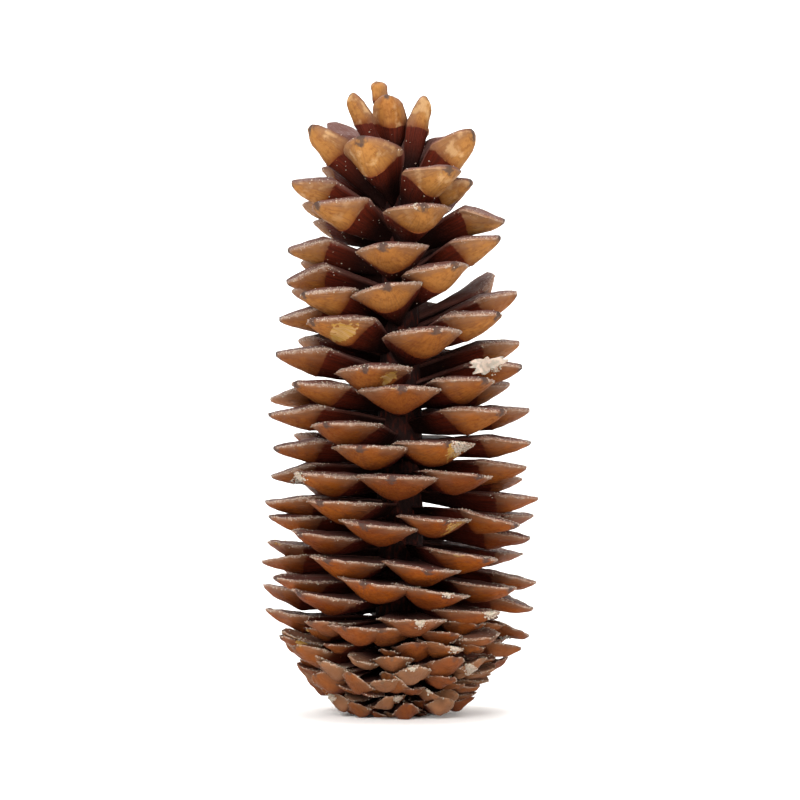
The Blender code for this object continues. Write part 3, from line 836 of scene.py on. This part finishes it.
def axis_wood(colours):
    """Cone axis: fibrous wood, pitted by scale roots, coloured near black as painted shade deep inside
    the cone.
    """
    made, tree, shader = new_material("cone_axis_wood", {
        "Roughness": 0.85, "Specular IOR Level": 0.2})
    where = add(tree, "ShaderNodeTexCoord", take="Object")
    long_way = add(tree, "ShaderNodeMapping", {"Vector": where, "Scale": AXIS_FIBRE_SCALE})
    fibre = two_shades(tree, shader, long_way, AXIS_FIBRE, colours.dark_fibre_and_depth_shade, colours.shaft)
    bump = add(tree, "ShaderNodeBump", {
        "Strength": 0.6, "Distance": AXIS_RELIEF, "Height": fibre})
    tree.links.new(bump, shader.inputs["Normal"])
    return made


def paper_floor(colours):
    """Matt studio paper, which shows only soft shade."""
    made, _, _ = new_material("studio_paper_matt", {
        "Base Color": tuple(colours.floor), "Roughness": 0.9})
    return made


# Resin

# Least and most size of a grain, as shares of the size that is set.
GRAIN_SIZES = (0.4, 1.6)
# Pieces of resin: name, the mark that it lies on, the size that its grains have, how many of
# them lie on a square metre, and a seed.
RESINS = (("resin_grains", "dusty", "grain", 0.45e6, 5),
          ("resin_beads", "beaded", "bead", 0.02e6, 6),
          ("resin_crusts", "crusted", "lump", 2.6e6, 7))
# No grain lies lower than this, so that none goes through the floor.
GRAIN_CLEARANCE = 1.2 * MM

# Where an end is torn and shows yellow fibre: x and y in the picture, px, and radius, mm.
TORN = ((346, 338, 7.5), (392, 382, 4.2), (459, 454, 5.5), (462, 538, 7.5), (270, 536, 5.5),
        (302, 638, 4.0))
TORN_FROM = 0.62
TEAR_DEPTH = 1.6 * MM
TEAR_WAVE = 0.25 * MM
TEAR_SLANT = 0.6
TEAR_WAVE_SHARE = 0.3
# Where resin has dried in a crust, alike.
CRUSTS = ((413, 204, 2.6), (494, 366, 4.0), (462, 447, 5.5), (299, 479, 3.4), (448, 593, 3.2),
          (490, 612, 3.8), (420, 621, 3.8), (455, 647, 3.6), (412, 666, 3.2), (470, 669, 3.6),
          (398, 698, 3.0), (430, 690, 2.8), (505, 640, 2.8), (331, 698, 3.0))
# Where marks begin and how far on they are full, as shares of the way along a scale, of its
# half width or of the cone's height.
CRUST_WRAP = (1.0, -0.12)
DUSTY_ROWS = (0.95, -0.35)
DUSTY_TIP = (0.93, 0.07)
DUSTY_RIM = (0.85, 0.15)
DUSTY_FACE = (0.3, 0.7)
BEADED_ROWS = (0.65, 0.1)
BEADED_SHAFT = (0.2, 0.5)
RIM_FROM = 0.45
FACE_FROM = 0.5
# How thick the dust lies: on the lower side of a rim, on a rim near the foot, on a tip, and on
# an upper face high up and what is added to that lower down.
RIM_BELOW = 0.35
FOOT_ROWS = 0.2
FOOT_RIM = 2.2
TIP_DUST = 0.5
FACE_DUST = 0.15
LOW_FACE_DUST = 0.5

# A flake of resin: half its width and height, thickness and place, mm, and its turn.
FLAKE_HALF_WIDE = 8.5
FLAKE_HALF_HIGH = 3.4
FLAKE_THICK = 1.0
FLAKE_PLACE = (39.5, -42.0, 163.0)
FLAKE_TURN = math.radians(28)
FLAKE_SIDES = 44
FLAKE_ROUNDS = 7
# Notches of its outline: depth as a share, number round it, and where they start, radians.
FLAKE_NOTCHES = ((0.2, 3, 1), (0.13, 8, 2), (0.09, 13, 0))
# Its rise from side to side, a share, and the depth and the lengths of its two waves, mm.
FLAKE_SLANT = 0.2
FLAKE_WAVE = (0.9, 2.1)
FLAKE_CROSS_WAVE = (0.6, 1.3, 3.0)


def grain_ball(name):
    """A small eight-sided ball that resin grains are copies of."""
    points = [(1, 0, 0), (0, 1, 0), (-1, 0, 0), (0, -1, 0), (0, 0, 1), (0, 0, -1)]
    faces = [(side, (side + 1) % 4, 4) for side in range(4)]
    faces += [((side + 1) % 4, side, 5) for side in range(4)]
    mesh = bpy.data.meshes.new(name)
    mesh.from_pydata(points, [], faces)
    return new_object(name, mesh)


def resin_tree():
    """Scatters grains over a surface, as thick as one of its attributes says."""
    tree, given, out = new_tree("scatter_grains", (
        ("Grain", "Object"), ("Radius", "Float"), ("Density", "Float"), ("Seed", "Int"),
        ("Where", "String"), ("Material", "Material")))
    g = given.outputs
    where = add(tree, NAMED, {"Name": g["Where"]})
    density = add(tree, MATH, (g["Density"], where), operation="MULTIPLY")
    scatter = tree.nodes.new("GeometryNodeDistributePointsOnFaces")
    for name, value in (("Mesh", g["Geometry"]), ("Density", density), ("Seed", g["Seed"])):
        tree.links.new(value, scatter.inputs[name])
    grain = add(tree, "GeometryNodeObjectInfo", {"Object": g["Grain"]}, "Geometry")
    share = add(tree, "FunctionNodeRandomValue", {
        2: GRAIN_SIZES[0], 3: GRAIN_SIZES[1], "Seed": g["Seed"]}, 1, data_type="FLOAT")
    radius = add(tree, MATH, (share, g["Radius"]), operation="MULTIPLY")
    copies = add(tree, "GeometryNodeInstanceOnPoints", {
        "Points": scatter.outputs["Points"], "Instance": grain,
        "Rotation": scatter.outputs["Rotation"], "Scale": radius})
    real = add(tree, "GeometryNodeRealizeInstances", [copies])
    done = add(tree, "GeometryNodeSetMaterial", {"Geometry": real, "Material": g["Material"]})
    tree.links.new(done, out.inputs[0])
    return tree


def in_picture(point):
    """Where a point in metres is in the picture, px."""
    level, up = point.y / MM + CAMERA_AWAY_MM, point.z / MM - CAMERA_HIGH_MM
    depth = (level * CAMERA_AWAY_MM + up * CAMERA_RISE_MM) / CAMERA_LENGTH_MM
    high = (up * CAMERA_AWAY_MM - level * CAMERA_RISE_MM) / CAMERA_LENGTH_MM
    shrink = CAMERA_LENGTH_MM / depth / MM_PER_PX
    return AXIS_PX + point.x / MM * shrink, PICTURE_PX / 2 - high * shrink


def nearness(place, spots):
    """How near a place in the picture is to the nearest spot: 1 at its middle, 0 at its edge."""
    return max(1 - math.dist(place, (x, y)) * MM_PER_PX / radius for x, y, radius in spots)


def ramp(value, start, span):
    """0 at the start, 1 a span further on, straight between them and level beyond."""
    return max(0.0, min(1.0, (value - start) / span))


def dustiness(far, edge, side, rise):
    """How thick resin dust lies at a place of a scale."""
    low = ramp(rise, *DUSTY_ROWS)
    rim = ramp(edge, *DUSTY_RIM) * (far > RIM_FROM) * (RIM_BELOW + (1 - RIM_BELOW) * side)
    if rise < FOOT_ROWS:
        rim *= FOOT_RIM
    tip = TIP_DUST * ramp(far, *DUSTY_TIP) * side
    face = ramp(edge, *DUSTY_FACE) * side * (far > FACE_FROM)
    return low * (rim + tip + (FACE_DUST + LOW_FACE_DUST * low) * face)


def mark_surface(mesh):
    """Writes where the surface is torn, dusty, beaded or crusted, and sinks torn places."""
    along, across, upper, level = (
        mesh.attributes[name].data for name in ("along", "across", "upper", "level"))
    marks = {name: [] for name in ("torn", "dusty", "beaded", "crusted")}
    for point, far, wide, side, rise in zip(mesh.vertices, along, across, upper, level):
        far, edge, side, rise = far.value, abs(wide.value), side.value, rise.value
        tear = crust = 0.0
        if point.co.y < 0 and far > TORN_FROM:
            place = in_picture(point.co)
            tear = ramp(nearness(place, TORN), -0.5, 1.0) * (1 - side)
            crust = max(0.0, nearness(place, CRUSTS)) * (1 - side * ramp(far, *CRUST_WRAP))
        clear = point.co.z > GRAIN_CLEARANCE
        on_shaft = BEADED_SHAFT[0] < far < BEADED_SHAFT[1]
        marks["torn"].append(tear)
        marks["crusted"].append(crust * clear)
        marks["dusty"].append(dustiness(far, edge, side, rise) * clear)
        marks["beaded"].append(ramp(rise, *BEADED_ROWS) * on_shaft * (1 - side))
    for name, values in marks.items():
        layer = mesh.attributes.new(name, "FLOAT", "POINT")
        layer.data.foreach_set("value", values)
    sink_tears(mesh, marks["torn"])


def sink_tears(mesh, tears):
    """Sinks the surface where it is torn, in fine waves that pass for fibres."""
    normals = [normal.vector.copy() for normal in mesh.vertex_normals]
    for point, normal, tear in zip(mesh.vertices, normals, tears):
        wave = TEAR_WAVE_SHARE * math.sin((point.co.x + TEAR_SLANT * point.co.z) / TEAR_WAVE)
        point.co -= normal * tear * TEAR_DEPTH * (1 - TEAR_WAVE_SHARE + wave)


def joined(name, meshes):
    """One mesh of several, which are then removed."""
    shape = bmesh.new()
    for mesh in meshes:
        shape.from_mesh(mesh)
        bpy.data.meshes.remove(mesh)
    return mesh_of(name, shape)


def flake_point(out, turn, offset):
    """A point of the flake in metres: how far out, a share, at which turn and how far back."""
    out *= sum((deep * math.sin(count * turn + start) for deep, count, start in FLAKE_NOTCHES), 1.0)
    wide = FLAKE_HALF_WIDE * out * math.cos(turn)
    high = FLAKE_HALF_HIGH * out * math.sin(turn)
    deep, length = FLAKE_WAVE
    wave = deep * math.sin(wide / length)
    deep, length, cross_length = FLAKE_CROSS_WAVE
    wave += deep * math.cos(high / length + wide / cross_length)
    return Vector((wide, wave - offset, high + FLAKE_SLANT * wide)) * MM


def flake(material):
    """A thin ragged flake of dried resin that stands on a scale."""
    shape, layers = bmesh.new(), []
    turns = [2 * math.pi * side / FLAKE_SIDES for side in range(FLAKE_SIDES)]
    for offset in (FLAKE_THICK / 2, -FLAKE_THICK / 2):
        layers.append([
            [shape.verts.new(flake_point(step / FLAKE_ROUNDS, turn, offset)) for turn in turns]
            for step in range(1, FLAKE_ROUNDS + 1)])
    for rings in layers:
        shape.faces.new(rings[0])
        wall(shape, rings)
    wall(shape, [rings[-1] for rings in layers])
    bmesh.ops.recalc_face_normals(shape, faces=shape.faces)
    bmesh.ops.triangulate(shape, faces=[f for f in shape.faces if len(f.verts) > 4])
    mesh = mesh_of("resin_flake", shape)
    place = Matrix.Translation(Vector(FLAKE_PLACE) * MM)
    mesh.transform(place @ Matrix.Rotation(FLAKE_TURN, 4, "Z"))
    finish_piece(new_object("resin_flake", coated(mesh, material)))


# The axis

AXIS_SIDES = 48
AXIS_RINGS = 120
STUB_BEVEL = 0.6
# Ridges that wind round it, mm high, as two waves multiplied: number round it, and how much
# they wind, radians a mm. The stub's end has none.
RIDGE_HIGH = 0.35
RIDGES = ((5, 0.21), (8, -0.13))
RIDGES_FROM = 1.0


def axis_point(profile, height, turn):
    """A point on the axis, in metres, at this height in mm."""
    ridge = RIDGE_HIGH * (height > RIDGES_FROM)
    for count, winding in RIDGES:
        ridge *= math.sin(count * turn + height * winding)
    radius = at(profile, height) + ridge
    aside = at(LEAN, height) + radius * math.cos(turn)
    return aside * MM, radius * math.sin(turn) * MM, height * MM


# The stage

SENSOR_MM = 36.0
# Lights: name, place and what it points at, m, size, m, and power, W.
LIGHTS = (
    ("key", (-0.5, -1.3, 0.75), (0, 0, 0.15), 0.8, 28.0),
    ("fill", (0.9, -1.1, 0.4), (0, 0, 0.15), 0.9, 14.0),
    ("top", (0.0, -0.1, 1.3), (0, 0, 0.15), 0.7, 10.0),
    ("wall", (0.0, 0.6, 1.5), (0, 1.5, 0.2), 1.2, 22.0))
WORLD_STRENGTH = 0.5
# The paper, m: half its width, its front and top edges, and where it curves up and how.
PAPER_HALF_WIDE = 3.5
PAPER_FRONT = -3.0
PAPER_TOP = 3.0
CURVE_FROM = 0.9
CURVE_RADIUS = 0.6
CURVE_STEPS = 12


def aim(made, place, target):
    """Puts a light or the camera at a place and points it at a target."""
    made.location = place
    made.rotation_euler = (Vector(target) - Vector(place)).to_track_quat("-Z", "Y").to_euler()


def new_camera():
    """A camera that takes the cone in as the picture does."""
    place = Vector((0, -CAMERA_AWAY_MM, CAMERA_HIGH_MM)) * MM
    middle = Vector((0, 0, MIDDLE_HIGH_MM)) * MM
    lens = bpy.data.cameras.new("camera")
    lens.sensor_width = SENSOR_MM
    lens.lens = SENSOR_MM * (middle - place).length / (PICTURE_PX * MM_PER_PX * MM)
    made = new_object("camera", lens)
    aim(made, place, middle)
    return made


def paper_sweep(material):
    """A floor of studio paper that curves up behind."""
    turns = [math.pi / 2 * step / CURVE_STEPS for step in range(1, CURVE_STEPS + 1)]
    line = [(PAPER_FRONT, 0.0), (CURVE_FROM, 0.0)]
    line += [(CURVE_FROM + CURVE_RADIUS * math.sin(turn), CURVE_RADIUS - CURVE_RADIUS * math.cos(turn))
             for turn in turns]
    line.append((CURVE_FROM + CURVE_RADIUS, PAPER_TOP))
    shape = bmesh.new()
    rows = [[shape.verts.new((x, y, z)) for x in (-PAPER_HALF_WIDE, PAPER_HALF_WIDE)]
            for y, z in line]
    for first, second in zip(rows, rows[1:]):
        shape.faces.new((first[0], first[1], second[1], second[0]))
    new_object("paper", coated(mesh_of("paper", shape), material))


# Operators

# Faces that meet at more than this, degrees, keep a sharp edge.
SHARP_ANGLE = 38


class CONE_OT_scales(bpy.types.Operator):
    """Makes the scales, in bands from the top down"""

    bl_idname = "cone.scales"
    bl_label = "Scales"

    def execute(self, context):
        sizes = context.scene.cone_sizes
        wood = cone_wood(context.scene.cone_colours)
        blank, tree = blank_scale(), scale_tree()
        layouts = [lay_out(place) for place in place_scales() + place_fillers()]
        draw = random.Random(SEED)
        for one in layouts:
            one["tone"] = draw.random()
        ceiling = math.inf
        for name, floor, ragged in BANDS:
            band = [one for one in layouts if floor <= one["level"] * TOP_MM < ceiling]
            ceiling = floor
            carrier = new_object("places", places_mesh(band))
            crumpled = 1 + CRUMPLE_SHARE * (ragged - 1)
            mesh = apply_tree(carrier, tree, {
                "Blank": blank, "Ripple": sizes.ripple * crumpled,
                "Ripple length": sizes.ripple_length / crumpled, "Fray": sizes.fray * ragged,
                "Fray length": sizes.fray_length, "Seed": WAVE_SEED, "Material": wood})
            bpy.data.objects.remove(carrier)
            mark_surface(mesh)
            mesh.shade_smooth()
            mesh.set_sharp_from_angle(angle=math.radians(SHARP_ANGLE))
            mesh.name = name
            finish_piece(new_object(name, mesh))
        bpy.data.objects.remove(blank)
        return {"FINISHED"}


class CONE_OT_axis(bpy.types.Operator):
    """Makes the axis, with the cut stem stub below"""

    bl_idname = "cone.axis"
    bl_label = "Axis"

    def execute(self, context):
        profile = [(0.0, STUB_RADIUS - STUB_BEVEL), (STUB_BEVEL, STUB_RADIUS),
                   (STUB_TOP, STUB_RADIUS)]
        profile += [entry for entry in AXIS_RADIUS if entry[0] > STUB_TOP]
        heights = [profile[-1][0] * step / (AXIS_RINGS - 1) for step in range(AXIS_RINGS)]
        turns = [2 * math.pi * side / AXIS_SIDES for side in range(AXIS_SIDES)]
        shape = bmesh.new()
        rings = [[shape.verts.new(axis_point(profile, height, turn)) for turn in turns]
                 for height in heights]
        wall(shape, rings)
        for ring in (rings[0], rings[-1]):
            middle = shape.verts.new(sum((point.co for point in ring), Vector()) / AXIS_SIDES)
            for first, second in zip(ring, ring[1:] + ring[:1]):
                shape.faces.new((first, second, middle))
        bmesh.ops.recalc_face_normals(shape, faces=shape.faces)
        wood = axis_wood(context.scene.cone_colours)
        finish_piece(new_object("axis", coated(mesh_of("axis", shape), wood)))
        return {"FINISHED"}


class CONE_OT_resin(bpy.types.Operator):
    """Scatters dried resin: grains on the rims, beads on the shafts and crusts"""

    bl_idname = "cone.resin"
    bl_label = "Resin"

    def execute(self, context):
        sizes, colours = context.scene.cone_sizes, context.scene.cone_colours
        grain, tree = grain_ball("grain"), resin_tree()
        resin = dried_resin("pine_resin_dried", colours.resin, colours.dust)
        for name, mark, size, density, seed in RESINS:
            parts = [apply_tree(bpy.data.objects[band], tree, {
                "Grain": grain, "Radius": getattr(sizes, size), "Density": density,
                "Seed": seed, "Where": mark, "Material": resin}) for band, _, _ in BANDS]
            finish_piece(new_object(name, coated(joined(name, parts), resin)))
        bpy.data.objects.remove(grain)
        # The flake takes the darker flake colour, painted shade for its upright faces, which catch
        # more light than the grains.
        flake(dried_resin("pine_resin_flake", colours.flake, colours.dust))
        return {"FINISHED"}


class CONE_OT_stage(bpy.types.Operator):
    """Makes the floor, the lights and the camera"""

    bl_idname = "cone.stage"
    bl_label = "Stage"

    def execute(self, context):
        scene = context.scene
        paper_sweep(paper_floor(scene.cone_colours))
        for name, place, target, size, power in LIGHTS:
            light = bpy.data.lights.new(name, "AREA")
            light.size = size
            light.energy = power
            aim(new_object(name, light), place, target)
        world = bpy.data.worlds.new("soft_white")
        scene.world = world
        world.use_nodes = True
        backdrop = world.node_tree.nodes["Background"].inputs
        backdrop["Color"].default_value = (1, 1, 1, 1)
        backdrop["Strength"].default_value = WORLD_STRENGTH
        scene.view_settings.view_transform = "Standard"
        scene.camera = new_camera()
        return {"FINISHED"}


class CONE_PT_panel(bpy.types.Panel):
    """Lists the steps and their sizes and colours"""

    bl_idname = "CONE_PT_panel"
    bl_label = "Pine cone"
    bl_space_type = "VIEW_3D"
    bl_region_type = "UI"
    bl_category = "Pine cone"

    def draw(self, context):
        for step in STEPS:
            self.layout.operator(step)
        for group in (context.scene.cone_sizes, context.scene.cone_colours):
            for name in own_names(group):
                self.layout.prop(group, name)


STEPS = ("cone.scales", "cone.axis", "cone.resin", "cone.stage")
CLASSES = (ConeSizes, ConeColours, CONE_OT_scales, CONE_OT_axis, CONE_OT_resin, CONE_OT_stage,
           CONE_PT_panel)


def register():
    """Adds the classes, and the sizes and colours to the scene."""
    for one in CLASSES:
        bpy.utils.register_class(one)
    bpy.types.Scene.cone_sizes = bpy.props.PointerProperty(type=ConeSizes)
    bpy.types.Scene.cone_colours = bpy.props.PointerProperty(type=ConeColours)


def unregister():
    """Takes them out again."""
    del bpy.types.Scene.cone_colours
    del bpy.types.Scene.cone_sizes
    for one in reversed(CLASSES):
        bpy.utils.unregister_class(one)


def main():
    """Runs all steps."""
    register()
    for step in STEPS:
        group, name = step.split(".")
        getattr(getattr(bpy.ops, group), name)()


if __name__ == "__main__":
    main()
